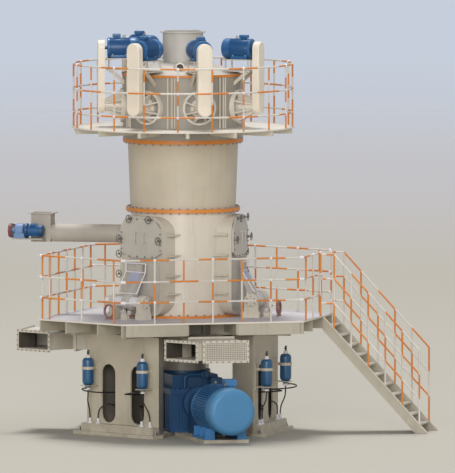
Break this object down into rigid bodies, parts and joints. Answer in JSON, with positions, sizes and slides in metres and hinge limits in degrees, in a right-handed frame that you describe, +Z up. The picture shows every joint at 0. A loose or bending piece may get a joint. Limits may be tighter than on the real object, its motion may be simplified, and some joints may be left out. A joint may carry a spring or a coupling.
{
  "type": "vertical roller mill",
  "caption": "Tall grinding mill on slotted pedestals with a ring of belt-driven classifier heads, railed work decks, stair, screw feeder, gas ducts and a floor-level main drive.",
  "frame": {"origin": "on the mill axis at ground level, under the sole plate of the gearbox", "axes": "+Z up along the mill axis; -Y out through roller window 1; the main motor lies 60 degrees from -Y towards +X and the screw feeder 60 degrees towards -X"},
  "size_m": [6.53, 5.8477, 7.333],
  "materials": {
    "cream": "satin warm grey-cream paint",
    "guard": "satin light cream paint",
    "orange": "satin orange paint",
    "deck": "matt grey-lilac paint",
    "railing": "satin off-white paint with orange bands",
    "motor_blue": "satin dark blue paint",
    "drive_blue": "satin mid blue paint",
    "bottle_blue": "semi-gloss blue paint",
    "white": "satin white paint",
    "red": "satin dark red paint",
    "steel": "plain steel",
    "dark": "dark grey paint",
    "hose": "black rubber"
  },
  "bodies": {
    "root": {"base_frame": "white", "pedestal_1": "cream", "pedestal_2": "cream", "pedestal_3": "cream", "accumulators": "bottle_blue", "accumulator_brackets": "white", "hose_fittings": "white", "hose_sockets": "steel", "hydraulic_hoses_1": "hose", "hydraulic_hoses_2": "hose", "hydraulic_hoses_3": "hose", "gearbox_case": "drive_blue", "gearbox_cover": "drive_blue", "table_hub": "dark", "oil_pipe": "drive_blue", "coupling_guard": "drive_blue", "main_motor": "drive_blue", "motor_fan_cover": "drive_blue", "gas_ring": "cream", "duct_necks": "cream", "inlet_duct_left": "cream", "inlet_duct_right": "cream", "duct_screens": "steel", "lower_deck": "deck", "deck_beams": "cream", "deck_fascia": "cream", "lower_railings": "railing", "stair_stringers": "deck", "stair_treads": "deck", "stair_railings": "railing", "mill_shell": "cream", "flange_rings": "orange", "cone_shell": "cream", "window_frames": "cream", "inspection_doors": "cream", "window_panels": "cream", "clamp_handwheels": "white", "rocker_shafts": "white", "rocker_bearings": "cream", "rocker_arms": "cream", "stop_rings": "red", "feed_tube": "cream", "feed_box": "cream", "feed_base": "deck", "feed_drive": "motor_blue", "chain_guard": "red", "upper_deck": "deck", "upper_deck_arms": "deck", "upper_railing": "railing", "classifier_housing": "cream", "lid": "cream", "outlet_pipe": "cream", "blank_port": "cream", "bearing_cones": "cream", "belt_guards": "guard", "classifier_motors": "motor_blue", "motor_slides": "dark", "drive_brackets": "cream"}
  },
  "joints": []
}
